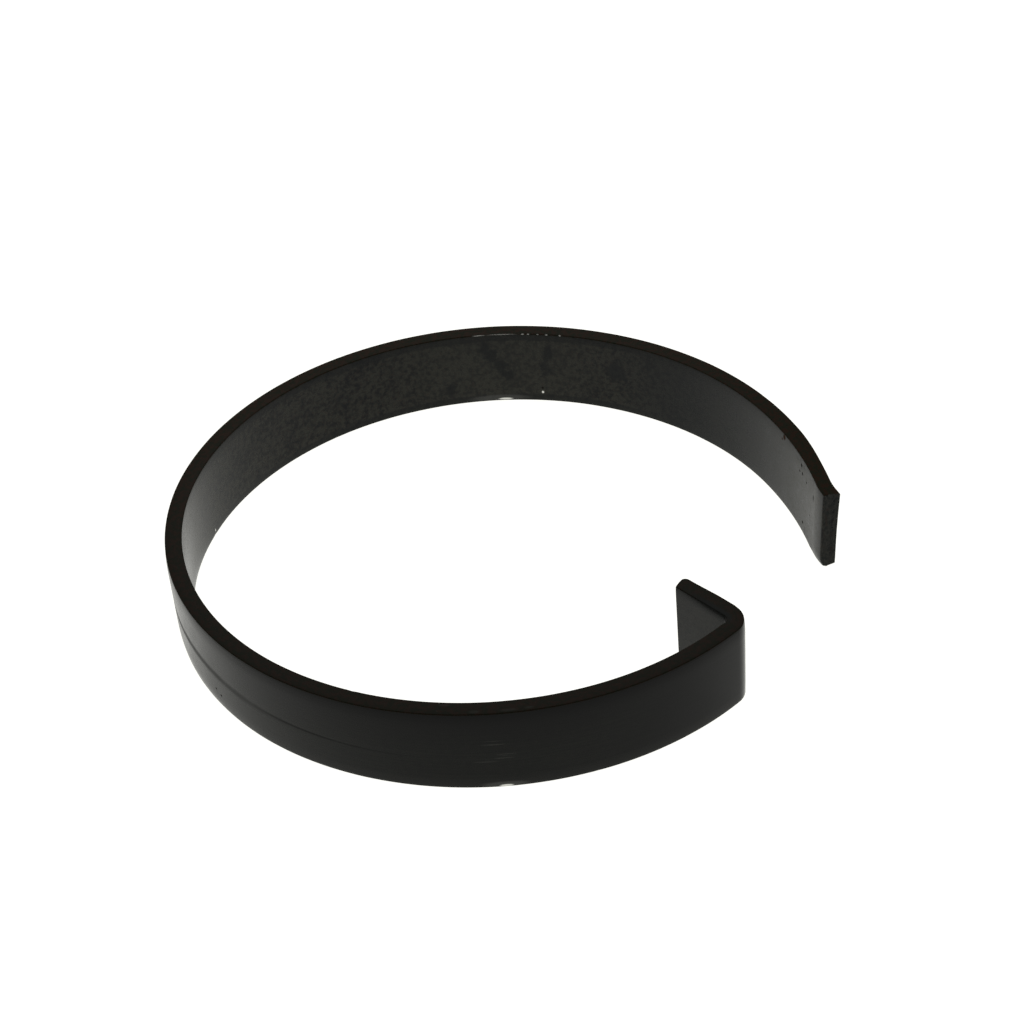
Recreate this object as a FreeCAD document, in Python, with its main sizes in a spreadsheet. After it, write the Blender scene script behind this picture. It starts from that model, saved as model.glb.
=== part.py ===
"""Lock clip: a hard steel strip coiled on edge into an open ring, with a short tang turned in at one end."""
import FreeCAD, Part
import math
import os
import Sketcher
from FreeCAD import Vector

# Driving sizes. Lengths are millimetres and angles are degrees.
SIZES = {
    "strip_width": 10.0,       # along the ring's axis
    "strip_thickness": 2.05,   # across the ring's wall
    "edge_round": 0.2,         # rolled edge of the strip
    "ring_radius": 34.4,       # inside of the main stretch
    "ring_sweep": 246.0,       # main stretch, back from the bend
    "shoulder_radius": 36.6,   # inside, where the coil starts to open out
    "shoulder_sweep": 46.0,
    "end_radius": 48.0,        # inside, the last stretch before the free end
    "end_sweep": 19.2,
    "bend_radius": 0.8,        # inside of the bend that turns the tang in
    "bend_angle": 86.0,
    "tang_length": 6.8,        # straight part, on the side towards the ring
    "tip_slant": 17.0,         # the tang is cut off a little out of square
    "tip_round": 0.8,          # pressed-over corner on the tip's gap side
    "shear_round": 0.45,       # corner rolled over where the free end was sheared
}

doc = FreeCAD.newDocument("lock_clip")
sheet = doc.addObject("Spreadsheet::Sheet", "sizes")
for row, (name, value) in enumerate(SIZES.items(), start=1):
    sheet.set(f"A{row}", name)
    sheet.set(f"B{row}", str(value))
    sheet.setAlias(f"B{row}", name)
doc.recompute()


def size(name):
    """One driving size, read back from the sheet."""
    return float(sheet.get(name))


def bearing(angle):
    """Unit vector in the ring's plane; 0 degrees is +X and angles grow towards +Y."""
    return Vector(math.cos(math.radians(angle)), math.sin(math.radians(angle)), 0)


def arc(centre, radius, start, end):
    """Arc drawn counter-clockwise from one bearing to the other."""
    circle = Part.Circle(centre, Vector(0, 0, 1), radius)
    return Part.ArcOfCircle(circle, math.radians(start), math.radians(end))


def origin_plane(body, role):
    return next(plane for plane in body.Origin.OriginFeatures if plane.Role == role)


class Plan:
    """The strip seen along the ring's axis, as one closed and fully constrained sketch.

    The main stretch is centred on the origin and ends on +X, where the strip bends inwards.
    Every other stretch follows from its neighbour by tangency.
    """

    START, END, CENTRE = 1, 2, 3   # the points of a sketch arc or line
    ORIGIN_POINT, X_AXIS = (-1, 1), -1

    def __init__(self, body):
        self.sketch = body.newObject("Sketcher::SketchObject", "strip_plan")
        self.sketch.AttachmentSupport = [(origin_plane(body, "XY_Plane"), "")]
        self.sketch.MapMode = "FlatFace"
        self.draw_coil()
        self.draw_tang()
        self.constrain_coil()
        self.constrain_tang()

    def add(self, geometry):
        return self.sketch.addGeometry(geometry, False)

    def draw_coil(self):
        """Inner and outer arcs of the three stretches, and the square cut at the free end."""
        wall = size("strip_thickness")
        ring, shoulder, end = size("ring_radius"), size("shoulder_radius"), size("end_radius")
        ring_start = 360 - size("ring_sweep")
        shoulder_start = ring_start - size("shoulder_sweep")
        free_end = shoulder_start - size("end_sweep")
        ring_centre = Vector(0, 0, 0)
        shoulder_centre = ring_centre + bearing(ring_start) * (ring - shoulder)
        end_centre = shoulder_centre + bearing(shoulder_start) * (shoulder - end)
        self.inner = [self.add(arc(ring_centre, ring, ring_start, 360)),
                      self.add(arc(shoulder_centre, shoulder, shoulder_start, ring_start)),
                      self.add(arc(end_centre, end, free_end, shoulder_start))]
        self.outer = [self.add(arc(ring_centre, ring + wall, ring_start, 360)),
                      self.add(arc(shoulder_centre, shoulder + wall, shoulder_start, ring_start)),
                      self.add(arc(end_centre, end + wall, free_end, shoulder_start))]
        self.end_inner = end_centre + bearing(free_end) * end
        end_outer = end_centre + bearing(free_end) * (end + wall)
        self.end_face = self.add(Part.LineSegment(self.end_inner, end_outer))

    def draw_tang(self):
        """The bend on +X and the straight tang, cut off on a slant."""
        wall, inside, turn = size("strip_thickness"), size("bend_radius"), size("bend_angle")
        centre = Vector(size("ring_radius") - inside, 0, 0)
        along, across = bearing(turn + 90), bearing(turn)
        foot = centre + across * inside
        tip = foot + along * size("tang_length")
        rise = wall * math.tan(math.radians(size("tip_slant")))
        self.tip_outer = tip + across * wall + along * rise
        self.bend_in = self.add(arc(centre, inside, 0, turn))
        self.bend_out = self.add(arc(centre, inside + wall, 0, turn))
        self.tang_in = self.add(Part.LineSegment(foot, tip))
        self.tang_out = self.add(Part.LineSegment(foot + across * wall, self.tip_outer))
        self.tip_cut = self.add(Part.LineSegment(tip, self.tip_outer))

    def relate(self, kind, *places):
        self.sketch.addConstraint(Sketcher.Constraint(kind, *places))

    def bind(self, kind, places, value, expression):
        """A dimension of the sketch, driven from the sheet."""
        index = self.sketch.addConstraint(Sketcher.Constraint(kind, *places, value))
        self.sketch.setExpression(f"Constraints[{index}]", expression)

    def bind_radius(self, geometry, name):
        self.bind("Radius", (geometry,), size(name), f"sizes.{name}")

    def bind_sweep(self, geometry, name):
        self.bind("Angle", (geometry,), math.radians(size(name)), f"sizes.{name}")

    def constrain_coil(self):
        start, end, centre = self.START, self.END, self.CENTRE
        self.relate("Coincident", self.inner[0], centre, *self.ORIGIN_POINT)
        self.relate("PointOnObject", self.inner[0], end, self.X_AXIS)
        for number, stretch in enumerate(("ring", "shoulder", "end")):
            self.bind_radius(self.inner[number], f"{stretch}_radius")
            self.bind_sweep(self.inner[number], f"{stretch}_sweep")
            self.relate("Coincident", self.outer[number], centre, self.inner[number], centre)
        for before, after in ((0, 1), (1, 2)):
            self.relate("Tangent", self.inner[before], start, self.inner[after], end)
            self.relate("Tangent", self.outer[before], start, self.outer[after], end)
        self.bind("Radius", (self.outer[0],), size("ring_radius") + size("strip_thickness"),
                  "sizes.ring_radius + sizes.strip_thickness")
        self.relate("Coincident", self.end_face, start, self.inner[2], start)
        self.relate("Coincident", self.end_face, end, self.outer[2], start)
        self.relate("PointOnObject", self.inner[2], centre, self.end_face)

    def constrain_tang(self):
        start, end, centre = self.START, self.END, self.CENTRE
        self.relate("Tangent", self.bend_in, start, self.inner[0], end)
        self.relate("Coincident", self.bend_out, centre, self.bend_in, centre)
        self.relate("Tangent", self.bend_out, start, self.outer[0], end)
        self.bind_radius(self.bend_in, "bend_radius")
        self.bind_sweep(self.bend_in, "bend_angle")
        self.relate("Tangent", self.bend_in, end, self.tang_in, start)
        self.relate("Tangent", self.bend_out, end, self.tang_out, start)
        self.relate("Parallel", self.tang_in, self.tang_out)
        self.bind("Distance", (self.tang_in,), size("tang_length"), "sizes.tang_length")
        self.relate("Coincident", self.tip_cut, start, self.tang_in, end)
        self.relate("Coincident", self.tip_cut, end, self.tang_out, end)
        self.bind("Angle", (self.tang_in, end, self.tip_cut, start),
                  math.radians(90 + size("tip_slant")), "90 + sizes.tip_slant")


def upright_edge(solid, corner):
    """Name of the edge that stands on one corner of the plan."""
    for number, edge in enumerate(solid.Edges, start=1):
        low, high = sorted((edge.Vertexes[0].Point, edge.Vertexes[-1].Point), key=lambda point: point.z)
        if high.z > low.z and (low - corner).Length < MATCH:
            return f"Edge{number}"


def level_edges(solid, height):
    """Names of all edges in the narrow face at that height."""
    return [f"Edge{number}" for number, edge in enumerate(solid.Edges, start=1)
            if abs(edge.BoundBox.ZMin - height) < MATCH and edge.BoundBox.ZLength < MATCH]


def rounded(body, base, name, edges, radius):
    """A fillet on top of the last feature, its radius driven from the sheet."""
    fillet = body.newObject("PartDesign::Fillet", name)
    fillet.Base = (base, edges)
    fillet.setExpression("Radius", f"sizes.{radius}")
    doc.recompute()
    return fillet


def build_clip_strip():
    """The whole clip is one strip, lying on its narrow face with the ring's axis along +Z."""
    body = doc.addObject("PartDesign::Body", "clip_strip")
    body.Label = "clip_strip"
    plan = Plan(body)
    strip = body.newObject("PartDesign::Pad", "strip")
    strip.Profile = plan.sketch
    strip.setExpression("Length", "sizes.strip_width")
    doc.recompute()
    tip_edges = [upright_edge(strip.Shape, plan.tip_outer)]
    tip = rounded(body, strip, "tip_corner", tip_edges, "tip_round")
    sheared_edges = [upright_edge(tip.Shape, plan.end_inner)]
    sheared = rounded(body, tip, "sheared_corner", sheared_edges, "shear_round")
    lower_edges = level_edges(sheared.Shape, 0)
    lower = rounded(body, sheared, "rolled_lower_edges", lower_edges, "edge_round")
    upper_edges = level_edges(lower.Shape, size("strip_width"))
    body.Tip = rounded(body, lower, "rolled_upper_edges", upper_edges, "edge_round")
    body.Placement = FreeCAD.Placement()
    doc.recompute()
    return body


def check(sub_parts):
    """Stops before anything is written if a feature failed or a solid isn't sound."""
    for item in doc.Objects:
        if "Invalid" in item.State or "Error" in item.State:
            raise RuntimeError(f"{item.Name} failed: {item.State}")
    for part in sub_parts:
        if part.Shape.isNull() or not part.Shape.isValid() or len(part.Shape.Solids) != 1:
            raise RuntimeError(f"{part.Label} isn't one sound solid")


MATCH = 1e-4   # millimetres: two points this near are the same point

sub_parts = [build_clip_strip()]
check(sub_parts)
os.makedirs("parts", exist_ok=True)
for part in sub_parts:
    part.Shape.exportStep(f"parts/{part.Label}.step")
    box = part.Shape.optimalBoundingBox(False, False)
    print(f"{part.Label}: {part.Shape.Volume:.1f} mm3, {box.XLength:.2f} x {box.YLength:.2f} x {box.ZLength:.2f} mm")
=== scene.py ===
import math
import random

import bmesh
import bpy
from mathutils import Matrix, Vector


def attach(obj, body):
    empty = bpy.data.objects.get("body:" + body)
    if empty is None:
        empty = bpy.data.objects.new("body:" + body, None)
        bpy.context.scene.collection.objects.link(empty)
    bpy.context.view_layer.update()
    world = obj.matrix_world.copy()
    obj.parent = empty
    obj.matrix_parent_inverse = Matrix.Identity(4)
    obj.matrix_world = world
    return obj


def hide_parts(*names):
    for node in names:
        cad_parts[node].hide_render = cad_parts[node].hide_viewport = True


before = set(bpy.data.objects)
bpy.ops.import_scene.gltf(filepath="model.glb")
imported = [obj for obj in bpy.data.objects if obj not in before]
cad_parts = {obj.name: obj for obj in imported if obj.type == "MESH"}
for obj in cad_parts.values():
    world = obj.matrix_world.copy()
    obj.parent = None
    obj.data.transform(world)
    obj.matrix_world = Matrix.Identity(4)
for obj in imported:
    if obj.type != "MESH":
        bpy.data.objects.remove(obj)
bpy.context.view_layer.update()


# The strip. The clip is cut from one length of flat spring steel, ten millimetres wide and about two
# thick, with its long edges rolled round. It is shaped flat here and coiled afterwards, as the real one
# is. Flat, it runs along X from the free end to the tang's tip, with the coil's inner side at Y zero.

MM = 0.001
STRIP_WIDTH = 10.0 * MM
STRIP_THICKNESS = 2.05 * MM
EDGE_ROUND = 0.12 * MM
END_STRETCH = (48.0 * MM, math.radians(19.2))       # radius of the inner side, and how far round it goes
SHOULDER_STRETCH = (36.6 * MM, math.radians(46.0))
RING_STRETCH = (34.4 * MM, math.radians(246.0))
TANG_BEND = (0.8 * MM, math.radians(86.0))
TANG_LENGTH = 6.8 * MM
TIP_SLANT = math.radians(17.0)
TIP_ROUND = 0.65 * MM
SHEARED_ROUND = 0.12 * MM

end_stops = END_STRETCH[0] * END_STRETCH[1]
shoulder_stops = end_stops + SHOULDER_STRETCH[0] * SHOULDER_STRETCH[1]
ring_stops = shoulder_stops + RING_STRETCH[0] * RING_STRETCH[1]
bend_stops = ring_stops + TANG_BEND[0] * TANG_BEND[1]
strip_length = bend_stops + TANG_LENGTH
tip_overhang = STRIP_THICKNESS * math.tan(TIP_SLANT)
tip_setback = TIP_ROUND / math.tan((math.pi / 2 - TIP_SLANT) / 2)   # of the round, from its sharp corner

SAME_PLACE = 0.01 * MM


def same(value, target):
    return abs(value - target) < SAME_PLACE


def pick_edges(piece, wanted):
    """In edit mode, selects the edges whose two ends pass the test, and nothing else."""
    bpy.ops.mesh.select_all(action="DESELECT")
    mesh = bmesh.from_edit_mesh(piece.data)
    for edge in mesh.edges:
        if wanted(edge.verts[0].co, edge.verts[1].co):
            edge.select_set(True)
    bmesh.update_edit_mesh(piece.data)


def cut_across(axis, place):
    """In edit mode, cuts every face along the plane that stands across the axis at that place."""
    level = Vector((0, 0, 0))
    level[axis] = place
    facing = Vector((0, 0, 0))
    facing[axis] = 1
    bpy.ops.mesh.select_all(action="SELECT")
    bpy.ops.mesh.bisect(plane_co=level, plane_no=facing)


def on_sheared_face(corner):
    """True for a corner on the free end's cut or on the tang's slanted cut."""
    return same(corner.x, 0) or same(corner.x, strip_length - corner.y * math.tan(TIP_SLANT))


def is_tip_corner(start, stop):
    return all(same(end.x, strip_length) and same(end.y, -STRIP_THICKNESS) for end in (start, stop))


def is_sheared_corner(start, stop):
    return all(same(end.x, 0) and same(end.y, 0) for end in (start, stop))


def is_long_edge(start, stop):
    """True for the edges of the narrow faces, apart from those round the two cut ends."""
    level = same(start.z, stop.z) and (same(start.z, 0) or same(start.z, STRIP_WIDTH))
    return level and not (on_sheared_face(start) and on_sheared_face(stop))


bpy.ops.object.select_all(action="DESELECT")
bpy.ops.mesh.primitive_cube_add(
    size=1.0,
    location=(strip_length / 2, -STRIP_THICKNESS / 2, STRIP_WIDTH / 2),
    scale=(strip_length, STRIP_THICKNESS, STRIP_WIDTH),
)
strip = bpy.context.object
strip.name = "coiled_clip"
strip.data.name = "coiled_clip"
bpy.ops.object.transform_apply(location=True, rotation=True, scale=True)
bpy.ops.object.mode_set(mode="EDIT")
bpy.ops.mesh.select_mode(type="EDGE")

# the tip is sheared out of square, and the corner on its gap side is pressed round
pick_edges(strip, is_tip_corner)
bpy.ops.transform.translate(value=(tip_overhang, 0, 0))
bpy.ops.mesh.bevel(offset=tip_setback, segments=6, profile=0.5, affect="EDGES")
# shearing also pulls the inner corner of the free end round
pick_edges(strip, is_sheared_corner)
bpy.ops.mesh.bevel(offset=SHEARED_ROUND, segments=3, profile=0.5, affect="EDGES")
# the long edges were rolled round before the ends were cut, so the cuts stay sharp
pick_edges(strip, is_long_edge)
bpy.ops.mesh.bevel(offset=EDGE_ROUND, segments=4, profile=0.5, affect="EDGES")

# rows of corners up the broad faces, closest near the long edges and round the crease in the outer face
FACE_CUTS = (0.5, 0.75, 1.1, 1.6, 2.3, 3.0, 5.6, 6.3, 7.0, 7.7, 8.2, 8.6, 8.9, 9.15, 9.35, 9.55)
CREASE_MIDDLE = 4.2
CREASE_LEVELS = (0.75, 0.4, 0.16, 0.0, -0.1, -0.22, -0.4, -0.7)       # millimetres above the crease's middle
CREASE_DEPTHS = (0.0, 0.003, 0.008, 0.013, 0.014, 0.010, 0.004, 0.0)  # millimetres into the face, at each
NARROW_FACE_CUTS = (0.7, 1.35)
for height in FACE_CUTS:
    cut_across(2, height * MM)
for level in CREASE_LEVELS:
    cut_across(2, (CREASE_MIDDLE + level) * MM)
for depth in NARROW_FACE_CUTS:
    cut_across(1, -depth * MM)

# cuts round the strip wherever it starts to turn another way, and even ones between them
FREE_END_CUTS = (0.3 * MM, 2.7 * MM)
TIP_CUT = 1.3 * MM
RING_PARTS = 4
CUTS_BETWEEN = (11, 34, 72, 90, 90, 90, 90, 26, 14)
ring_part = (ring_stops - shoulder_stops) / RING_PARTS
stations = [*FREE_END_CUTS, end_stops]
stations += [shoulder_stops + ring_part * part for part in range(RING_PARTS)]
stations += [ring_stops, bend_stops, strip_length - TIP_CUT]
for station in stations:
    cut_across(0, station)
for start, stop, number in zip(stations, stations[1:], CUTS_BETWEEN):
    pick_edges(strip, lambda a, b: same(min(a.x, b.x), start) and same(max(a.x, b.x), stop))
    bpy.ops.mesh.subdivide(number_cuts=number)
bpy.ops.object.mode_set(mode="OBJECT")

# The small forms of the strip move its corners while it is still flat. From here on their places along
# the strip, through it and up it are millimetres, as are all sizes of these forms.
TOP = STRIP_WIDTH / MM
HALF_THICKNESS = STRIP_THICKNESS / MM / 2
OUTER_SIDE = (-1.0, -1.7)       # through the strip, from where the outer side starts to where it is whole
INNER_SIDE = (-1.05, -0.35)


def ease(value, start, stop):
    """Goes smoothly from nothing at start to one at stop, which may also be the smaller of the two."""
    part = min(max((value - start) / (stop - start), 0.0), 1.0)
    return part * part * (3 - 2 * part)


def near(distance, reach, power=2.0):
    """One at the spot itself, falling away to nothing at the reach."""
    return max(0.0, 1.0 - distance / reach) ** power


CREASE_PLACE = 128.0
CREASE_HEIGHT = 4.6             # of its middle line, at that place
CREASE_FALL = 0.021             # of that line, for each millimetre along
CREASE_DEEPENS = (92.0, 122.0)
CREASE_THINS = (132.0, 160.0)
CREASE_THINNED = 0.6
CREASE_RUNS_OUT = (176.0, 158.0)
CREASE_ROWS_FOLLOW = (70.0, 100.0)
LOWEST_ROW, FIRST_WHOLE_ROW, LAST_WHOLE_ROW, HIGHEST_ROW = 1.1, 3.4, 5.0, 8.2
SAME_ROW = 0.02
ON_OUTER_FACE = 0.99            # corners that belong to the outer side by more than this lie on its face


def crease_press(along, height, outer):
    """How far the slitting rolls have pressed the crease into the outer face at that corner."""
    share = ease(along, *CREASE_DEEPENS) * ease(along, *CREASE_RUNS_OUT)
    share *= 1.0 - CREASE_THINNED * ease(along, *CREASE_THINS)
    for level, depth in zip(CREASE_LEVELS, CREASE_DEPTHS):
        if outer > ON_OUTER_FACE and abs(height - CREASE_MIDDLE - level) < SAME_ROW:
            return depth * share
    return 0.0


def crease_follow(along, height, outer):
    """How far the rows round the crease move up, so that it runs slightly downhill."""
    line = CREASE_HEIGHT - CREASE_FALL * (along - CREASE_PLACE)
    from_below = (height - LOWEST_ROW) / (FIRST_WHOLE_ROW - LOWEST_ROW)
    from_above = (HIGHEST_ROW - height) / (HIGHEST_ROW - LAST_WHOLE_ROW)
    share = min(1.0, max(0.0, from_below), max(0.0, from_above))
    return outer * share * (line - CREASE_MIDDLE) * ease(along, *CREASE_ROWS_FOLLOW)


CROWN_REACH = 1.6               # into the broad faces, from a long edge
LOW_CROWN = 0.02                # by the lower edges
MORE_LOW_CROWN = 0.10           # more there, along one stretch
MORE_LOW_STARTS = (100.0, 112.0)
MORE_LOW_STOPS = (146.0, 128.0)
LATER = (85.0, 130.0)           # where the earlier part of the strip gives way to the later one
OUTER_CROWN, LATER_OUTER_CROWN = 0.01, 0.11     # by the upper edges, and how much more on the later part
INNER_CROWN, LATER_INNER_CROWN = 0.06, -0.04
END_CROWN = 0.27                # more by the outer upper edge, near the free end
END_CROWN_STARTS = (0.3, 2.6)
END_CROWN_STOPS = (12.5, 4.0)
NARROW_FACE_CROWN = 0.04
NARROW_FACE_POWER = 9
PULLED_REACH = 0.9
PULLED_STARTS = (192.8, 194.2)
PULLED_THINS = (196.0, 201.0)
PULLED_THINNED = 0.8
PULLED_DOWN, PULLED_BACK = 0.05, 0.14
PULLED_ACROSS = (-0.75, -0.1)


def crowned(along, through, height, outer, inner):
    """Rolling leaves all four faces falling away a little towards the long edges.

    Folding the tang in also leaves its inner edge pulled round at the top, less so towards the tip.
    """
    later = ease(along, *LATER)
    more_low = MORE_LOW_CROWN * ease(along, *MORE_LOW_STARTS) * ease(along, *MORE_LOW_STOPS)
    near_end = ease(along, *END_CROWN_STARTS) * ease(along, *END_CROWN_STOPS)
    low = (LOW_CROWN + more_low) * near(height, CROWN_REACH)
    high = near(TOP - height, CROWN_REACH)
    pulled = near(TOP - height, PULLED_REACH) * ease(along, *PULLED_STARTS)
    pulled *= 1.0 - PULLED_THINNED * ease(along, *PULLED_THINS)
    edgeward = (height / (TOP / 2) - 1.0) ** NARROW_FACE_POWER
    height -= NARROW_FACE_CROWN * edgeward * ((through + HALF_THICKNESS) / HALF_THICKNESS) ** 2
    height -= PULLED_DOWN * pulled * ease(through, *PULLED_ACROSS)
    through += outer * (low + (OUTER_CROWN + LATER_OUTER_CROWN * later + END_CROWN * near_end) * high)
    through -= inner * (low + (INNER_CROWN + LATER_INNER_CROWN * later) * high + PULLED_BACK * pulled)
    return through, height


LEAN, LEAN_REACH = 0.27, 20.0
PULL, PULL_REACH = 0.38, 2.3
BURR_BELOW, BURR_MORE_ABOVE, BURR_REACH, BURR_POWER = 0.03, 0.22, 1.4, 1.6
SPREAD, SPREAD_MORE_BELOW, SPREAD_REACH = 0.18, 0.12, 3.0
KNOCK, KNOCK_LENGTH, KNOCK_HEIGHT, KNOCK_POWER = 0.35, 3.5, 1.1, 1.5
KNOCKED_ACROSS = (-0.9, -2.05)
TORN_FACE = 0.01                # corners nearer to the start than this lie on the torn face
TEAR = 0.025
wear = random.Random(7)


def sheared_end(along, through, height, outer, inner):
    """The free end leans out at its top, is pulled round inside by the shear, and has a burr outside.

    Its two lower corners are knocked back, and its face is torn a little uneven.
    """
    knocked = near(along, KNOCK_LENGTH, 1.0) * near(height, KNOCK_HEIGHT, KNOCK_POWER)
    lean = LEAN * near(along, LEAN_REACH, 1.0) * height / TOP
    pull = inner * (PULL * near(along, PULL_REACH) + KNOCK * knocked)
    burr = outer * near(along, BURR_REACH, BURR_POWER) * (BURR_BELOW + BURR_MORE_ABOVE * (height / TOP) ** 3)
    spread = (SPREAD + SPREAD_MORE_BELOW * (1.0 - height / TOP)) * ease(along, SPREAD_REACH, 0.0)
    height += KNOCK * knocked * ease(through, *KNOCKED_ACROSS)
    torn = wear.uniform(-TEAR, TEAR) if along < TORN_FACE else 0.0
    return along - spread + torn, through - pull - lean - burr, height


SWELL = 0.2
SWELL_STARTS = (193.6, 194.8)
SWELL_STOPS = (201.0, 196.5)
CUT_LONG_ABOVE, CUT_SHORT_BELOW = 0.22, 0.04
CUT_STARTS = (197.0, 201.0)


def folded_tang(along, through, height, outer):
    """The tang's outer side swells past the fold, and its tip is cut slightly long at the top."""
    through -= SWELL * outer * ease(along, *SWELL_STARTS) * ease(along, *SWELL_STOPS)
    along += (CUT_LONG_ABOVE * height / TOP - CUT_SHORT_BELOW) * ease(along, *CUT_STARTS)
    return along, through


# dents in the long edges: place along the strip, inner or outer side, lower or upper edge, size
EDGE_DENTS = (
    (102.2, "inner", "lower", 0.05), (61.5, "outer", "upper", 0.05), (127.2, "outer", "lower", 0.06),
    (176.3, "outer", "lower", 0.05), (31.4, "outer", "lower", 0.06), (151.7, "inner", "upper", 0.05),
    (78.6, "inner", "lower", 0.05), (166.4, "outer", "upper", 0.05),
)
DENT_LENGTH = 4.0               # to each side, times the dent's size
DENT_HEIGHT = 0.5
DENT_SLOPE = 0.6
DENTED_SIDE = 0.5               # corners that belong to the dent's side by more than this are moved


def dented(along, through, height, outer, inner):
    """Small knocks press the long edges in and flatten them."""
    for spot, side, edge, size in EDGE_DENTS:
        away = 1.0 - abs(along - spot) / (DENT_LENGTH * size)
        near_side = inner if side == "inner" else outer
        near_edge = height if edge == "lower" else TOP - height
        if away > 0 and near_side > DENTED_SIDE and near_edge < DENT_HEIGHT:
            press = size * away * (1.0 - near_edge / DENT_HEIGHT)
            through += press if side == "outer" else -press
            height += DENT_SLOPE * press if edge == "lower" else -DENT_SLOPE * press
    return through, height


# the finish follows the strip round the coil, so every corner keeps its place on the flat strip, in mm
strip_place = strip.data.attributes.new("strip_place", "FLOAT_VECTOR", "POINT")
for vertex in strip.data.vertices:
    along, through, height = vertex.co / MM
    outer = ease(through, *OUTER_SIDE)
    inner = ease(through, *INNER_SIDE)
    press = crease_press(along, height, outer)
    height += crease_follow(along, height, outer)
    strip_place.data[vertex.index].vector = (along, through, height)
    through, height = crowned(along, through + press, height, outer, inner)
    along, through, height = sheared_end(along, through, height, outer, inner)
    along, through = folded_tang(along, through, height, outer)
    through, height = dented(along, through, height, outer, inner)
    vertex.co = Vector((along, through, height)) * MM


# The coil. The flat strip is wound on edge round a former, and sits a little wider towards its free end.
# The last seven millimetres are folded in over the corner of a block, and make the tang.

COIL_STEP = math.radians(1.0)
BEND_STEP = math.radians(3.0)


def outward(angle):
    return Vector((math.cos(angle), math.sin(angle), 0))


def inner_line():
    """Points along the coil's inner side, from the free end to the tang's tip."""
    bend_starts = 0.0
    ring_starts = bend_starts - RING_STRETCH[1]
    shoulder_starts = ring_starts - SHOULDER_STRETCH[1]
    facing = shoulder_starts - END_STRETCH[1]
    # the ring is centred on the origin, and each stretch leads smoothly into the next
    centre = outward(ring_starts) * (RING_STRETCH[0] - SHOULDER_STRETCH[0])
    centre += outward(shoulder_starts) * (SHOULDER_STRETCH[0] - END_STRETCH[0])
    radius = END_STRETCH[0]
    points = [centre + outward(facing) * radius]
    for next_radius, turn in (END_STRETCH, SHOULDER_STRETCH, RING_STRETCH, TANG_BEND):
        centre += outward(facing) * (radius - next_radius)
        radius = next_radius
        number = round(turn / (BEND_STEP if next_radius == TANG_BEND[0] else COIL_STEP))
        points += [centre + outward(facing + turn * step / number) * radius for step in range(1, number + 1)]
        facing += turn
    points.append(points[-1] + outward(facing + math.pi / 2) * TANG_LENGTH)
    return points


route = inner_line()
former_line = bpy.data.curves.new("former", "CURVE")
former_line.dimensions = "2D"
former_line.use_deform_bounds = False
run = former_line.splines.new("POLY")
run.points.add(len(route) - 1)
for point, spot in zip(run.points, route):
    point.co = (spot.x, spot.y, 0, 1)
former = bpy.data.objects.new("former", former_line)
bpy.context.collection.objects.link(former)
bpy.ops.object.select_all(action="DESELECT")
strip.select_set(True)
bpy.context.view_layer.objects.active = strip
coiling = strip.modifiers.new("coiling", "CURVE")
coiling.object = former
coiling.deform_axis = "POS_X"
bpy.ops.object.modifier_apply(modifier=coiling.name)
bpy.data.objects.remove(former)

# rolling leaves the faces very slightly wavy, and a middle above one keeps every wave inside the strip
WAVE_LENGTH, WAVE_HEIGHT = 6.0 * MM, 0.02 * MM
WAVE_MIDDLE = 1.2
SHARPEST_SMOOTH_EDGE = math.radians(50.0)
waves = bpy.data.textures.new("rolling_waves", "CLOUDS")
waves.noise_scale = WAVE_LENGTH
waves.noise_depth = 1
waviness = strip.modifiers.new("waviness", "DISPLACE")
waviness.texture = waves
waviness.strength = WAVE_HEIGHT
waviness.mid_level = WAVE_MIDDLE
bpy.ops.object.modifier_apply(modifier=waviness.name)
bpy.ops.object.shade_smooth_by_angle(angle=SHARPEST_SMOOTH_EDGE)


# The finish. The steel is blackened all over. The broad faces are a thin satin grey-black, cloudier on the
# inner side, the narrow edges are dull and brownish, and the two sheared ends are bare and grey. All
# places in it are millimetres on the flat strip: along it, through it and up it.

OXIDE_IOR = 1.2


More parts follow.
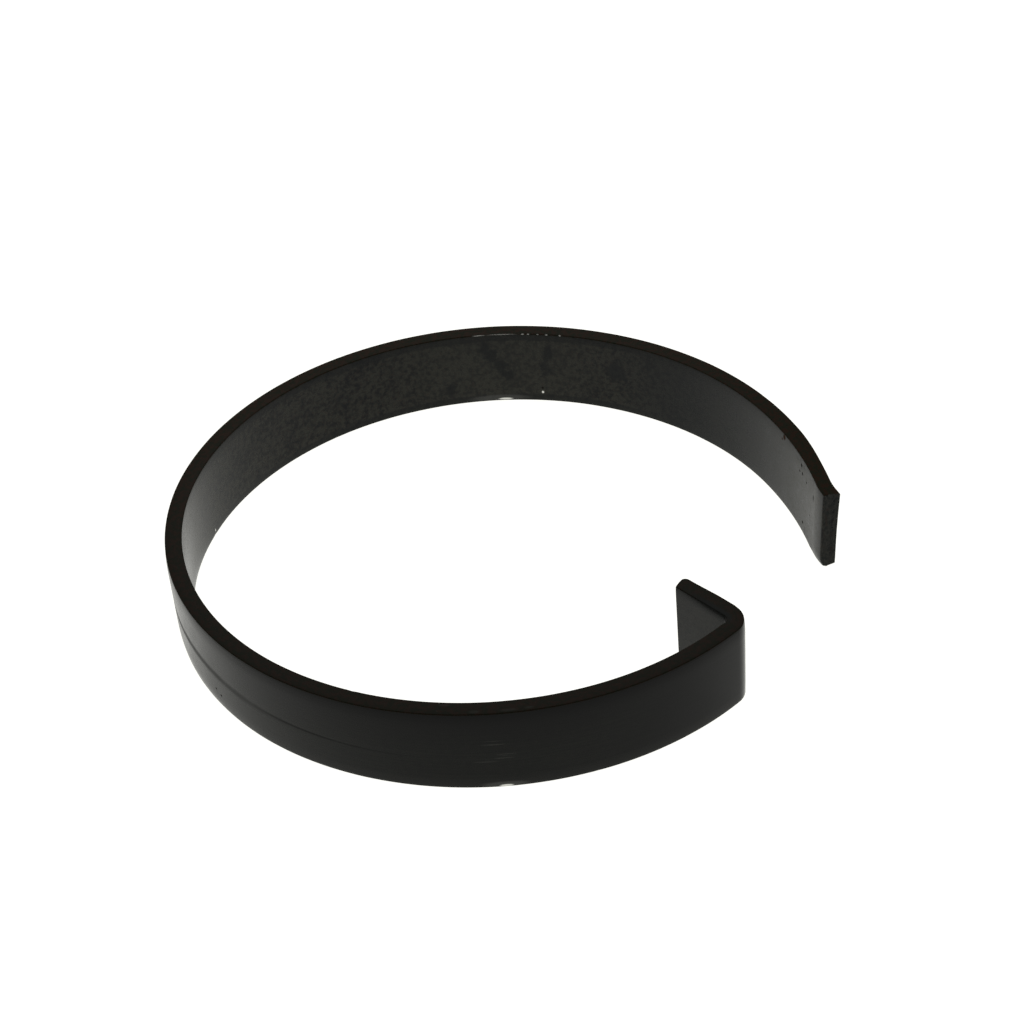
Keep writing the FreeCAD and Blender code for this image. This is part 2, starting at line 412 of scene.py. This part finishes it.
class Wiring:
    """Wires up a shader tree. Each new node stands one column to the right of those that feed it."""

    COLUMN_WIDTH, ROW_HEIGHT = 190, 170

    def __init__(self, tree):
        self.tree = tree
        self.columns = {}       # column of each node, by the node's name
        self.filled = {}        # how many nodes stand in each column

    def feed(self, node, feeds):
        """Feeds inputs of the node from other nodes or with plain values, and puts it in its column."""
        column = 0
        for name, feed in feeds.items():
            if isinstance(feed, bpy.types.NodeSocket):
                self.tree.links.new(feed, node.inputs[name])
                column = max(column, self.columns[feed.node.name] + 1)
            else:
                node.inputs[name].default_value = feed
        row = self.filled.get(column, 0)
        self.filled[column] = row + 1
        self.columns[node.name] = column
        node.location = (column * self.COLUMN_WIDTH, -row * self.ROW_HEIGHT)

    def node(self, kind, feeds=None, **settings):
        node = self.tree.nodes.new(kind)
        for name, value in settings.items():
            setattr(node, name, value)
        self.feed(node, feeds or {})
        return node

    def maths(self, operation, *values, clamp=False):
        feeds = dict(enumerate(values))
        return self.node("ShaderNodeMath", feeds, operation=operation, use_clamp=clamp).outputs["Value"]

    def times(self, first, second):
        return self.maths("MULTIPLY", first, second)

    def plus(self, first, second):
        return self.maths("ADD", first, second)

    def minus(self, first, second):
        return self.maths("SUBTRACT", first, second)

    def larger(self, first, second):
        return self.maths("MAXIMUM", first, second)

    def scaled_onto(self, base, value, factor):
        """The base, plus the value times the factor."""
        return self.maths("MULTIPLY_ADD", value, factor, base)

    def weighed(self, first, second, share):
        """That share of the first value, and the rest of the second."""
        return self.plus(self.times(first, share), self.times(second, 1.0 - share))

    def fade(self, value, start, stop):
        """Goes smoothly from nothing to one, as the value goes from start to stop."""
        feeds = {"Value": value, "From Min": start, "From Max": stop}
        return self.node("ShaderNodeMapRange", feeds, interpolation_type="SMOOTHSTEP").outputs["Result"]

    def remap(self, value, start, stop, low, high):
        """Goes evenly from low to high, as the value goes from start to stop."""
        feeds = {"Value": value, "From Min": start, "From Max": stop, "To Min": low, "To Max": high}
        return self.node("ShaderNodeMapRange", feeds).outputs["Result"]

    def blend(self, share, first, second):
        """Mixes two colours."""
        return self.node("ShaderNodeMix", {0: share, 6: first, 7: second}, data_type="RGBA").outputs[2]

    def noise(self, place, scale, detail, roughness=0.5, distortion=0.0):
        feeds = {
            "Vector": place, "Scale": scale, "Detail": detail,
            "Roughness": roughness, "Distortion": distortion,
        }
        return self.node("ShaderNodeTexNoise", feeds)

    def spots(self, place, where):
        """One mask for a list of spots: place along, through and up the strip, then half sizes likewise."""
        mask = None
        for spot in where:
            feeds = {"Place": place, "Centre": spot[:3], "Half Size": spot[3:]}
            next_mask = self.node("ShaderNodeGroup", feeds, node_tree=spot_mask).outputs["Mask"]
            mask = next_mask if mask is None else self.larger(mask, next_mask)
        return mask

    def bump(self, relief, strength, distance):
        feeds = {"Strength": strength, "Distance": distance, "Height": relief}
        return self.node("ShaderNodeBump", feeds).outputs["Normal"]


def socket(group, name, direction, kind, value=None):
    made = group.interface.new_socket(name=name, in_out=direction, socket_type=kind)
    if value is not None:
        made.default_value = value


# clouds of thicker and thinner oxide, in two sizes, with fine grit over them
oxide_clouds = bpy.data.node_groups.new("oxide_clouds", "ShaderNodeTree")
socket(oxide_clouds, "Place", "INPUT", "NodeSocketVector")
socket(oxide_clouds, "Cloud Scale", "INPUT", "NodeSocketFloat", 0.3)
socket(oxide_clouds, "Mottle Scale", "INPUT", "NodeSocketFloat", 1.4)
for output in ("Clouds", "Mottle", "Grit"):
    socket(oxide_clouds, output, "OUTPUT", "NodeSocketFloat")
wiring = Wiring(oxide_clouds)
given = wiring.node("NodeGroupInput").outputs
cloud = wiring.noise(given["Place"], given["Cloud Scale"], detail=4.0, roughness=0.55, distortion=0.4)
mottle = wiring.noise(given["Place"], given["Mottle Scale"], detail=4.0, roughness=0.6, distortion=0.2)
grit = wiring.noise(given["Place"], scale=6.0, detail=3.0, roughness=0.6)
feeds = {"Clouds": cloud.outputs[0], "Mottle": mottle.outputs[0], "Grit": grit.outputs[0]}
wiring.node("NodeGroupOutput", feeds)

# a spot of any size at any place on the strip, soft at its rim
SPOT_RIM = (1.0, 0.45)          # in half sizes, from nothing to full strength
spot_mask = bpy.data.node_groups.new("spot", "ShaderNodeTree")
socket(spot_mask, "Place", "INPUT", "NodeSocketVector")
socket(spot_mask, "Centre", "INPUT", "NodeSocketVector")
socket(spot_mask, "Half Size", "INPUT", "NodeSocketVector", (1, 1, 1))
socket(spot_mask, "Mask", "OUTPUT", "NodeSocketFloat")
wiring = Wiring(spot_mask)
given = wiring.node("NodeGroupInput").outputs
away = wiring.node("ShaderNodeVectorMath", {0: given["Place"], 1: given["Centre"]}, operation="SUBTRACT")
shrunk = wiring.node("ShaderNodeVectorMath", {0: away.outputs[0], 1: given["Half Size"]}, operation="DIVIDE")
reach = wiring.node("ShaderNodeVectorMath", {0: shrunk.outputs[0]}, operation="LENGTH")
wiring.node("NodeGroupOutput", {"Mask": wiring.fade(reach.outputs["Value"], *SPOT_RIM)})


class Finish(Wiring):
    """The wiring of one of the strip's materials, with the places and clouds that its masks start from."""

    BESIDE_SHADER = Vector((300, 0))

    def __init__(self, name, cloud_scale, mottle_scale):
        self.material = bpy.data.materials.new(name)
        self.material.use_nodes = True
        super().__init__(self.material.node_tree)
        self.place = self.node("ShaderNodeAttribute", attribute_name="strip_place").outputs["Vector"]
        axes = self.node("ShaderNodeSeparateXYZ", {0: self.place}).outputs
        self.along, self.through, self.height = axes["X"], axes["Y"], axes["Z"]
        feeds = {"Place": self.place, "Cloud Scale": cloud_scale, "Mottle Scale": mottle_scale}
        oxide = self.node("ShaderNodeGroup", feeds, node_tree=oxide_clouds).outputs
        self.clouds, self.mottle, self.grit = oxide["Clouds"], oxide["Mottle"], oxide["Grit"]

    def stretch(self, starts, stops):
        """Where along the strip a mask holds. Both pairs of places run from nothing of it to all of it."""
        return self.times(self.fade(self.along, *starts), self.fade(self.along, *stops))

    def dress(self, feeds):
        """Feeds the shader itself, and puts the output beside it."""
        shader = self.tree.nodes["Principled BSDF"]
        self.feed(shader, feeds)
        self.tree.nodes["Material Output"].location = shader.location + self.BESIDE_SHADER


steel = Finish("blackened_steel", cloud_scale=0.32, mottle_scale=1.5)

# The masks say where on the strip a part of the finish is. A pair of places or levels runs from nothing of
# the mask to all of it. The dull colour of the narrow faces ends in a ragged line just over the rolled
# edge, and some of it laps down over the pulled edge of the fold, partly as painted shade there.
INSIDE = (-1.15, -0.9)
RAGGED_BY = 0.16                # for each unit of mottle
NARROW_RIM, LAP_RIM = (0.28, 0.12), (0.85, 0.3)
LAP_SHARE = 0.5
FOLD_STARTS, FOLD_STOPS = (192.6, 194.4), (201.5, 196.5)
FOLD_CORNER = ((193.8, 0.0, 9.9, 1.0, 1.0, 0.9),)
from_edge = steel.maths("MINIMUM", steel.height, steel.minus(TOP, steel.height))
ragged = steel.scaled_onto(from_edge, steel.mottle, RAGGED_BY)
inside = steel.fade(steel.through, *INSIDE)
past_fold = steel.stretch(FOLD_STARTS, FOLD_STOPS)
# partly painted shade: the dull colour laps down over the fold's pulled edge
lap_and_painted_shade = steel.times(steel.times(past_fold, inside), steel.fade(ragged, *LAP_RIM))
rolled = steel.larger(steel.fade(ragged, *NARROW_RIM), steel.times(lap_and_painted_shade, LAP_SHARE))
narrow = steel.larger(rolled, steel.spots(steel.place, FOLD_CORNER))

# The crease is duller than the face round it, and past its deepest part it runs on as a hairline. Both are
# lines: a place along the strip, the line's height there, and its fall for each millimetre.
DULL_BAND = (CREASE_PLACE, 4.56, CREASE_FALL)
DULL_STARTS, DULL_STOPS = (92.0, 118.0), (168.0, 122.0)
DULL_RIM = (0.75, 0.0)
HAIRLINE = (141.0, 4.31, 0.011)
HAIR_STARTS, HAIR_STOPS = (137.0, 148.0), (180.0, 146.0)
HAIR_RIM = (0.24, 0.02)
OUTER_FACE = (-1.8, -1.95)


def off_line(place, height, fall):
    """Distance from a line that falls slightly along the outer face."""
    level = steel.scaled_onto(steel.height, steel.along, fall)
    return steel.maths("ABSOLUTE", steel.minus(level, height + fall * place))


dull_band = steel.times(steel.fade(off_line(*DULL_BAND), *DULL_RIM), steel.stretch(DULL_STARTS, DULL_STOPS))
hairline = steel.times(steel.fade(off_line(*HAIRLINE), *HAIR_RIM), steel.stretch(HAIR_STARTS, HAIR_STOPS))
crease = steel.times(steel.plus(dull_band, hairline), steel.fade(steel.through, *OUTER_FACE))

# lengthwise drawing marks
DRAWN_OUT = (0.05, 1.0, 3.0)
drawn = steel.node("ShaderNodeMapping", {"Vector": steel.place, "Scale": DRAWN_OUT}).outputs[0]
streaks = steel.noise(drawn, scale=1.6, detail=4.0, roughness=0.6).outputs[0]

# the inner face darker on the shoulder and in painted shade along its edges, and thick dark blotches of oxide
DARK_SHOULDER_STARTS, DARK_SHOULDER_STOPS = (6.0, 16.0), (44.0, 32.0)
SHADED_RIM = (1.25, 0.95)
DARK_SHOULDER_SHARE, SHADED_RIM_SHARE = 0.7, 0.6
BLOTCHES = (
    (42.7, 0.0, 7.0, 1.7, 1.0, 1.9), (59.6, 0.0, 9.2, 1.1, 1.0, 1.2), (58.8, 0.0, 8.0, 1.1, 1.0, 1.4),
    (57.7, 0.0, 6.6, 1.1, 1.0, 1.4), (56.8, 0.0, 5.2, 1.1, 1.0, 1.1), (51.7, 0.0, 8.2, 0.9, 1.0, 1.6),
    (52.1, 0.0, 6.4, 1.0, 1.0, 1.5), (64.3, 0.0, 3.9, 1.0, 1.0, 1.0),
)
BLOTCH_WANDER = (2.4, 0.0, 2.4)
# darker on the shoulder, then painted shade along the inner face's edges
dark_shoulder_and_shaded_rim = steel.times(steel.stretch(DARK_SHOULDER_STARTS, DARK_SHOULDER_STOPS), DARK_SHOULDER_SHARE)
dark_shoulder_and_shaded_rim = steel.larger(dark_shoulder_and_shaded_rim, steel.times(steel.fade(ragged, *SHADED_RIM), SHADED_RIM_SHARE))
wander = steel.noise(steel.place, scale=0.8, detail=3.0).outputs["Color"]
feeds = {0: wander, 1: BLOTCH_WANDER, 2: steel.place}
wandering = steel.node("ShaderNodeVectorMath", feeds, operation="MULTIPLY_ADD").outputs[0]
blotches = steel.spots(wandering, BLOTCHES)

# pits and rust, mostly near the free end
PITS = (
    (7.3, 0.0, 8.9, 0.28, 1.0, 0.3), (7.8, 0.0, 7.8, 0.2, 1.0, 0.18), (6.9, 0.0, 8.0, 0.24, 1.0, 0.26),
    (5.5, 0.0, 7.7, 0.2, 1.0, 0.16), (2.8, 0.0, 7.5, 0.16, 1.0, 0.5), (6.4, 0.0, 1.5, 0.3, 1.0, 0.22),
    (4.0, 0.0, 4.2, 0.14, 1.0, 0.12), (51.4, 0.0, 2.0, 0.2, 1.0, 0.26), (133.0, -2.0, 2.2, 0.16, 1.0, 0.22),
    (133.9, -2.0, 1.8, 0.2, 1.0, 0.2),
)
RUST_SPOTS = ((12.4, 0.0, 9.5, 0.35, 1.0, 0.45), (12.9, 0.0, 9.0, 0.2, 1.0, 0.2))
pits = steel.spots(steel.place, PITS)
rust = steel.spots(steel.place, RUST_SPOTS)

# painted glints where the softbox catches fine scratches on the outer face and scuffs on its top edge, and
# fine scrapes along the crown of the rolled edges
FACE_SCRATCH_GLINTS = (
    (167.4, -2.0, 4.45, 1.6, 1.0, 0.22), (166.2, -2.0, 6.1, 1.7, 1.0, 0.4),
    (165.3, -2.0, 3.6, 1.6, 1.0, 0.14), (167.2, -2.0, 4.05, 1.3, 1.0, 0.16),
)
EDGE_SCUFFS_AND_GLINTS = (
    (164.6, -1.6, 10.0, 0.7, 0.3, 0.5), (167.9, -1.64, 10.0, 1.1, 0.26, 0.5),
    (169.9, -1.58, 10.0, 0.6, 0.24, 0.5), (161.6, -0.5, 10.0, 0.8, 0.2, 0.5),
)
GLINTING_STREAKS = (0.44, 0.6)
NICK_LEVELS = (0.66, 0.74)
CROWN_RIM = (0.30, 0.12)
EDGE_GLINT_SHARE, SCUFF_AND_GLINT_SHARE, SCRAPE_SHARE = 0.6, 0.45, 0.5
# painted glints of the softbox on fine lengthwise scratches of the outer face
face_scratch_glints = steel.times(steel.spots(steel.place, FACE_SCRATCH_GLINTS), steel.fade(streaks, *GLINTING_STREAKS))
# painted glints on the outer top edge, with a scuff
edge_scuffs_and_glints = steel.times(steel.spots(steel.place, EDGE_SCUFFS_AND_GLINTS), EDGE_GLINT_SHARE)
scuffs_and_glints = steel.times(steel.larger(face_scratch_glints, edge_scuffs_and_glints), SCUFF_AND_GLINT_SHARE)
nicks = steel.noise(steel.place, scale=2.4, detail=5.0, roughness=0.7).outputs[0]
scrapes = steel.times(steel.fade(from_edge, *CROWN_RIM), steel.fade(nicks, *NICK_LEVELS))
worn_and_glinting = steel.larger(steel.times(scrapes, SCRAPE_SHARE), scuffs_and_glints)

# bare metal in small nicks, painted glints on the rolled edges where the softbox catches them, and a faint
# painted sheen round them and along the outer bottom edge
BARE_AND_GLINT_SPOTS = (
    (51.4, 0.0, 1.35, 0.2, 1.0, 0.24), (102.2, 0.0, 0.64, 0.12, 0.5, 0.28), (56.2, 0.0, 0.3, 1.2, 0.3, 0.2),
    (53.5, -0.03, 9.93, 0.26, 0.1, 0.1), (52.8, -0.03, 9.93, 0.2, 0.1, 0.1),
    (51.6, -0.03, 9.93, 0.16, 0.08, 0.08), (50.5, -0.03, 9.93, 0.22, 0.1, 0.1),
    (48.8, -0.03, 9.93, 0.2, 0.1, 0.1), (59.0, -0.03, 9.93, 1.0, 0.07, 0.08),
    (56.1, -0.03, 9.93, 2.4, 0.05, 0.06), (167.1, -2.05, 0.22, 0.9, 0.3, 0.2),
)
PAINTED_SHEEN_SPOTS = (
    (57.0, 0.0, 0.5, 4.8, 0.4, 0.6), (56.6, -0.03, 9.93, 4.0, 0.12, 0.12), (167.0, -2.05, 0.4, 2.8, 0.4, 0.5),
    (116.0, -2.05, 0.3, 22.0, 0.5, 1.1),
)
PAINTED_SHEEN_SHARE = 0.07
# painted sheen round the glints and along the outer bottom edge
painted_sheen = steel.times(steel.spots(steel.place, PAINTED_SHEEN_SPOTS), PAINTED_SHEEN_SHARE)
# bare metal in nicks, and painted glints on the rolled edges
bare_and_glints = steel.larger(steel.spots(steel.place, BARE_AND_GLINT_SPOTS), painted_sheen)

# the inner face: speckled oxide with fine brown grains, seldom more than a third of a millimetre across,
# painted paler as a highlight where it is farthest from the camera, and greyer on the tang
INNER_DARK = (0.0032, 0.0043, 0.0050, 1)
INNER_PALE = (0.0235, 0.0240, 0.0190, 1)
INNER_BROWN = (0.0240, 0.0165, 0.0120, 1)
INNER_HIGHLIGHT = (0.0400, 0.0400, 0.0320, 1)
TANG_GREY = (0.0130, 0.0140, 0.0120, 1)
MOTTLE_IN_SPECKLE = 0.7
SPECKLE_LEVELS, GRAIN_LEVELS = (0.40, 0.58), (0.5, 0.66)
HIGHLIGHT_STARTS, HIGHLIGHT_STOPS = (40.0, 52.0), (74.0, 60.0)
TANG_STARTS = (193.4, 194.6)
GRAIN_SHARE, HIGHLIGHT_SHARE, TANG_SHARE = 0.55, 0.28, 0.5
speckle = steel.weighed(steel.mottle, steel.clouds, MOTTLE_IN_SPECKLE)
grains = steel.noise(steel.place, scale=3.2, detail=2.0).outputs[0]
browned = steel.times(steel.fade(grains, *GRAIN_LEVELS), GRAIN_SHARE)
# painted highlight: the stretch of inner face farthest from the camera is made paler
painted_highlight = steel.times(steel.stretch(HIGHLIGHT_STARTS, HIGHLIGHT_STOPS), HIGHLIGHT_SHARE)
greyed = steel.times(steel.fade(steel.along, *TANG_STARTS), TANG_SHARE)
inner_colour = steel.blend(steel.fade(speckle, *SPECKLE_LEVELS), INNER_DARK, INNER_PALE)
inner_colour = steel.blend(browned, inner_colour, INNER_BROWN)
inner_colour = steel.blend(painted_highlight, inner_colour, INNER_HIGHLIGHT)
inner_colour = steel.blend(greyed, inner_colour, TANG_GREY)

# the outer face: streaky, in painted shade towards its top edge, darker towards the tang, and paler along
# its bottom edge as a painted reflection of the table
OUTER_DARK = (0.0020, 0.0025, 0.0021, 1)
OUTER_PALE = (0.0052, 0.0056, 0.0043, 1)
OUTER_SHADE_DARK = (0.0002, 0.0002, 0.0002, 1)
OUTER_REFLECTED = (0.0120, 0.0120, 0.0110, 1)
STREAKS_IN_FACE = 0.6
FACE_LEVELS = (0.36, 0.64)
SHADE_UPWARDS, DARK_TO_TANG = (3.5, 9.8), (172.0, 188.0)
REFLECTION_RIM = (1.8, 0.3)
REFLECTION_SHARE = 0.6
streaky = steel.weighed(streaks, steel.mottle, STREAKS_IN_FACE)
# painted shade towards the top edge, and darker towards the tang
shade_up_and_dark_to_tang = steel.larger(steel.fade(steel.height, *SHADE_UPWARDS), steel.fade(steel.along, *DARK_TO_TANG))
# painted reflection of the table, paler along the bottom edge
painted_table_reflection = steel.times(steel.fade(steel.height, *REFLECTION_RIM), REFLECTION_SHARE)
outer_colour = steel.blend(steel.fade(streaky, *FACE_LEVELS), OUTER_DARK, OUTER_PALE)
outer_colour = steel.blend(shade_up_and_dark_to_tang, outer_colour, OUTER_SHADE_DARK)
outer_colour = steel.blend(painted_table_reflection, outer_colour, OUTER_REFLECTED)

# the narrow faces: mottled brown and green, in painted shade on the later part, grey along the fold's pulled
# edge, partly as painted shade there
EDGE_RED = (0.0225, 0.0105, 0.0042, 1)
EDGE_GREEN = (0.0092, 0.0102, 0.0030, 1)
EDGE_PAINTED_SHADE = (0.0030, 0.0026, 0.0010, 1)
PULLED_GREY = (0.0090, 0.0100, 0.0085, 1)
EDGE_LEVELS = (0.42, 0.58)
EDGE_SHADE_SHARE = 0.4
PULLED_RAGGED_BY = 0.9
PULLED_RIM = (-0.35, 0.1)
# painted shade: the narrow faces of the later part are darkened
later_painted_shade = steel.times(steel.fade(steel.along, *LATER), EDGE_SHADE_SHARE)
ragged_depth = steel.scaled_onto(steel.through, steel.mottle, PULLED_RAGGED_BY)
on_pulled_edge = steel.times(past_fold, steel.fade(ragged_depth, *PULLED_RIM))
edge_colour = steel.blend(steel.fade(steel.mottle, *EDGE_LEVELS), EDGE_GREEN, EDGE_RED)
edge_colour = steel.blend(later_painted_shade, edge_colour, EDGE_PAINTED_SHADE)
# grey along the fold's pulled edge, partly painted shade
edge_colour = steel.blend(on_pulled_edge, edge_colour, PULLED_GREY)

# the faces are joined, and the marks are laid over them one after the other
DARK_OXIDE_AND_SHADE = (0.0050, 0.0062, 0.0068, 1)
PIT_BROWN = (0.0060, 0.0042, 0.0030, 1)
RUST_BROWN = (0.0400, 0.0160, 0.0060, 1)
SCUFFED_AND_GLINTING = (0.0500, 0.0500, 0.0440, 1)
BARE_METAL_AND_GLINT = (0.5500, 0.5500, 0.5200, 1)
BLOTCH_SHARE, PIT_SHARE, RUST_SHARE = 0.8, 0.9, 0.85
# dark blotches of oxide, the darker shoulder, and painted shade along the inner face's edges
darkened = steel.larger(steel.times(blotches, BLOTCH_SHARE), steel.times(dark_shoulder_and_shaded_rim, inside))
colour = steel.blend(inside, outer_colour, inner_colour)
colour = steel.blend(darkened, colour, DARK_OXIDE_AND_SHADE)
colour = steel.blend(narrow, colour, edge_colour)
colour = steel.blend(steel.times(pits, PIT_SHARE), colour, PIT_BROWN)
colour = steel.blend(steel.times(rust, RUST_SHARE), colour, RUST_BROWN)
# scrapes along the edges, and painted glints
colour = steel.blend(worn_and_glinting, colour, SCUFFED_AND_GLINTING)
# bare metal and painted glints
colour = steel.blend(bare_and_glints, colour, BARE_METAL_AND_GLINT)

# satin broad faces, smoother towards the tang and patchy towards the free end, and dull narrow ones
CLOUDS_IN_SATIN = 0.6
CLOUD_LEVELS = (0.3, 0.7)
SATIN = (0.20, 0.30)
DULL = 0.7
SMOOTHER_STARTS, SMOOTHER_BY = (176.0, 190.0), -0.07
PATCHY_STARTS, PATCHY_BY = (45.0, 0.0), 0.22
CREASE_DULLS_BY = 0.3
PITS_DULL_BY = 0.6
OUTER_GRAIN, MORE_INNER_GRAIN = 0.1, 0.08
MEAN_GRIT = 0.5
cloudy = steel.weighed(steel.clouds, steel.mottle, CLOUDS_IN_SATIN)
smoother = steel.fade(steel.along, *SMOOTHER_STARTS)
patchy = steel.times(steel.fade(steel.along, *PATCHY_STARTS), steel.mottle)
grain = steel.scaled_onto(OUTER_GRAIN, inside, MORE_INNER_GRAIN)
grain = steel.times(steel.minus(steel.grit, MEAN_GRIT), grain)
roughness = steel.remap(cloudy, *CLOUD_LEVELS, *SATIN)
roughness = steel.scaled_onto(roughness, smoother, SMOOTHER_BY)
roughness = steel.node("ShaderNodeMix", {0: narrow, 2: roughness, 3: DULL}, data_type="FLOAT").outputs[0]
roughness = steel.scaled_onto(roughness, patchy, PATCHY_BY)
roughness = steel.scaled_onto(roughness, crease, CREASE_DULLS_BY)
roughness = steel.plus(roughness, grain)
roughness = steel.maths("MULTIPLY_ADD", steel.larger(pits, rust), PITS_DULL_BY, roughness, clamp=True)

STREAK_RELIEF, PIT_RELIEF = 1.2, 3.0       # for each unit of grit
relief = steel.plus(steel.grit, steel.times(streaks, STREAK_RELIEF))
relief = steel.minus(relief, steel.times(pits, PIT_RELIEF))
steel.dress({
    "Base Color": colour, "Metallic": bare_and_glints, "Roughness": roughness, "IOR": OXIDE_IOR,
    "Normal": steel.bump(relief, strength=0.5, distance=0.01 * MM),
})
strip.data.materials.append(steel.material)

# the two sheared ends: a smoother band by the inner side, and torn, pitted metal by the burr
SHEARED_GREEN = (0.0040, 0.0060, 0.0050, 1)
SHEARED_GREY = (0.0240, 0.0235, 0.0200, 1)
SHEARED_BROWN = (0.0150, 0.0095, 0.0070, 1)
TORN_PIT = (0.0020, 0.0024, 0.0028, 1)
GREY_LEVELS, BROWN_LEVELS, FINE_PIT_LEVELS = (0.35, 0.65), (0.52, 0.7), (0.5, 0.62)
TORN_STARTS, TORN_STOPS = (-1.15, -1.35), (-1.75, -1.55)
TORN_SPOTS = (
    (0.0, -1.5, 9.1, 1.0, 0.14, 0.35), (0.0, -1.5, 7.6, 1.0, 0.18, 0.3), (0.0, -1.42, 6.4, 1.0, 0.17, 0.45),
    (0.0, -1.5, 5.4, 1.0, 0.14, 0.16), (0.0, -0.17, 1.6, 1.0, 0.12, 0.16),
)
TORN_RELIEF = 1.5               # for each unit of mottle
SHEARED_SATIN = (0.42, 0.6)
sheared = Finish("sheared_steel", cloud_scale=0.8, mottle_scale=2.2)
torn_band = sheared.fade(sheared.through, *TORN_STARTS)
torn_band = sheared.times(torn_band, sheared.fade(sheared.through, *TORN_STOPS))
fine_pits = sheared.times(torn_band, sheared.fade(sheared.grit, *FINE_PIT_LEVELS))
torn_pits = sheared.larger(sheared.spots(sheared.place, TORN_SPOTS), fine_pits)
colour = sheared.blend(sheared.fade(sheared.mottle, *GREY_LEVELS), SHEARED_GREEN, SHEARED_GREY)
colour = sheared.blend(sheared.fade(sheared.clouds, *BROWN_LEVELS), colour, SHEARED_BROWN)
colour = sheared.blend(torn_pits, colour, TORN_PIT)
relief = sheared.minus(sheared.mottle, sheared.times(torn_pits, TORN_RELIEF))
sheared.dress({
    "Base Color": colour, "IOR": OXIDE_IOR,
    "Roughness": sheared.remap(sheared.mottle, *CLOUD_LEVELS, *SHEARED_SATIN),
    "Normal": sheared.bump(relief, strength=0.6, distance=0.03 * MM),
})
strip.data.materials.append(sheared.material)
for face in strip.data.polygons:
    corners = [strip.data.attributes["strip_place"].data[index].vector * MM for index in face.vertices]
    if all(on_sheared_face(corner) for corner in corners):
        face.material_index = 1

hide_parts("clip_strip")
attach(strip, "root")


# The table, light and camera. The clip lies on a lit white table under one softbox, and the camera looks
# down on it from the side that the split is on.

TABLE_SIZE = 4.0
TABLE_LIGHT = 1.05
STUDIO_LIGHT = 0.13

bpy.ops.object.select_all(action="DESELECT")
bpy.ops.mesh.primitive_plane_add(size=TABLE_SIZE, location=(0, 0, 0))
table = bpy.context.object
table.name = "table"
white = bpy.data.materials.new("lit_white_table")
white.use_nodes = True
shader = white.node_tree.nodes["Principled BSDF"]
shader.inputs["Base Color"].default_value = (0.2, 0.2, 0.2, 1)
shader.inputs["Roughness"].default_value = 0.12
shader.inputs["Emission Color"].default_value = (1, 1, 0.95, 1)
shader.inputs["Emission Strength"].default_value = TABLE_LIGHT
table.data.materials.append(white)

studio = bpy.data.worlds.new("studio")
bpy.context.scene.world = studio
studio.use_nodes = True
studio.node_tree.nodes["Background"].inputs["Color"].default_value = (1, 1, 1, 1)
studio.node_tree.nodes["Background"].inputs["Strength"].default_value = STUDIO_LIGHT

SOFTBOX_WAY = Vector((-0.45, 0.40, 0.80)).normalized()
SOFTBOX_DISTANCE = 0.9
bpy.ops.object.light_add(type="AREA", location=SOFTBOX_WAY * SOFTBOX_DISTANCE)
softbox = bpy.context.object
softbox.name = "softbox"
softbox.data.shape = "SQUARE"
softbox.data.size = 0.24
softbox.data.energy = 3.0
softbox.rotation_euler = SOFTBOX_WAY.to_track_quat("Z", "Y").to_euler()

bpy.context.scene.view_settings.view_transform = "Standard"

CAMERA_PLACE = Vector((151.197, -137.597, 159.244)) * MM
CAMERA_TURN = (math.radians(53.3617), math.radians(3.8452), math.radians(44.1110))
bpy.ops.object.camera_add(location=CAMERA_PLACE, rotation=CAMERA_TURN)
camera = bpy.context.object
camera.data.sensor_width = 36.0
camera.data.lens = 79.151
camera.data.clip_start = 0.01
bpy.context.scene.camera = camera
